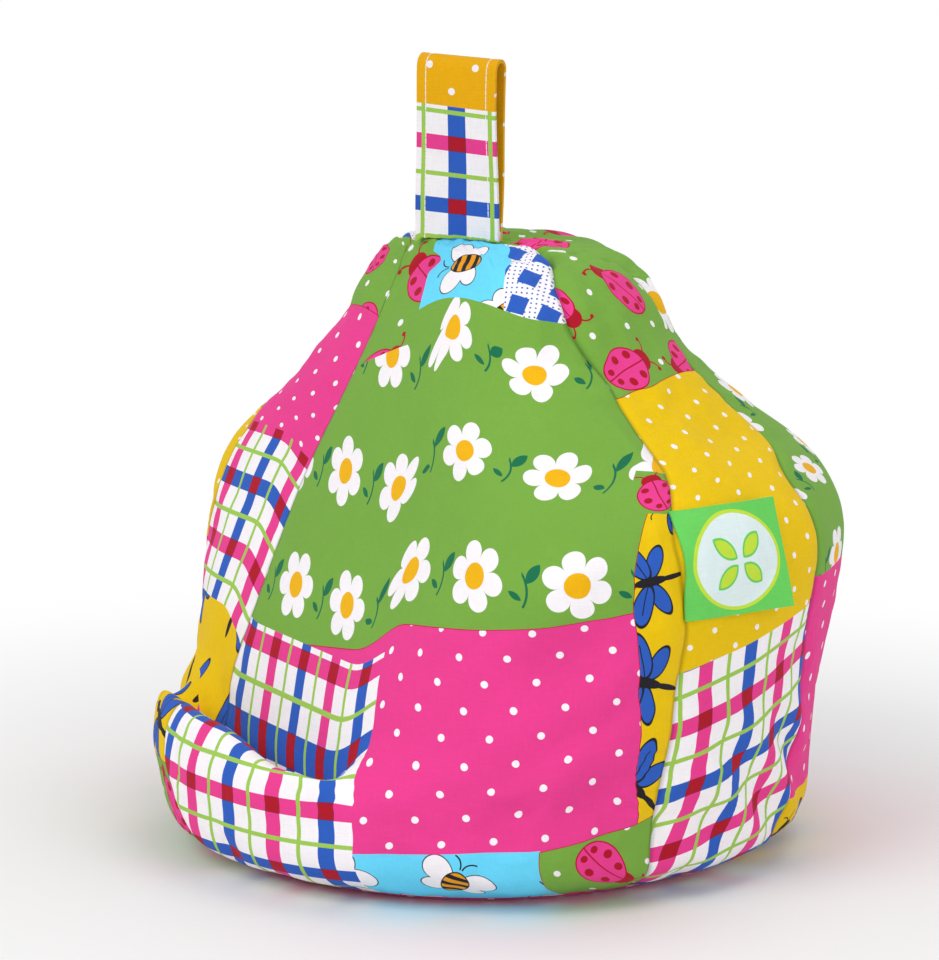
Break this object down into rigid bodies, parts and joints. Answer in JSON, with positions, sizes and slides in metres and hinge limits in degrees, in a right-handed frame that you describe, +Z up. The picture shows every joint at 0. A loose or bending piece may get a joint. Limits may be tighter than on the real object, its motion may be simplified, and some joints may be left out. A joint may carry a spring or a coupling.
{
  "type": "tablet cushion stand",
  "caption": "Small bean bag stand: a leaning face over a groove behind a soft roll holds a flat device, with a loop handle on its crown and a sewn label.",
  "frame": {"origin": "middle of the round flat base, on the table", "axes": "+Z up; -Y out of the front panel, the way the handle's strap faces; the leaning face and its groove look 34 degrees from -Y towards -X"},
  "size_m": [0.2689, 0.2589, 0.2985],
  "materials": {
    "cover_print": "printed cotton patchwork, matt",
    "strap_print": "printed cotton, matt, edges topstitched",
    "label_cloth": "smooth woven label, slight sheen"
  },
  "bodies": {
    "root": {"bean_bag": "cover_print", "loop_handle": "strap_print", "label": "label_cloth"}
  },
  "joints": []
}
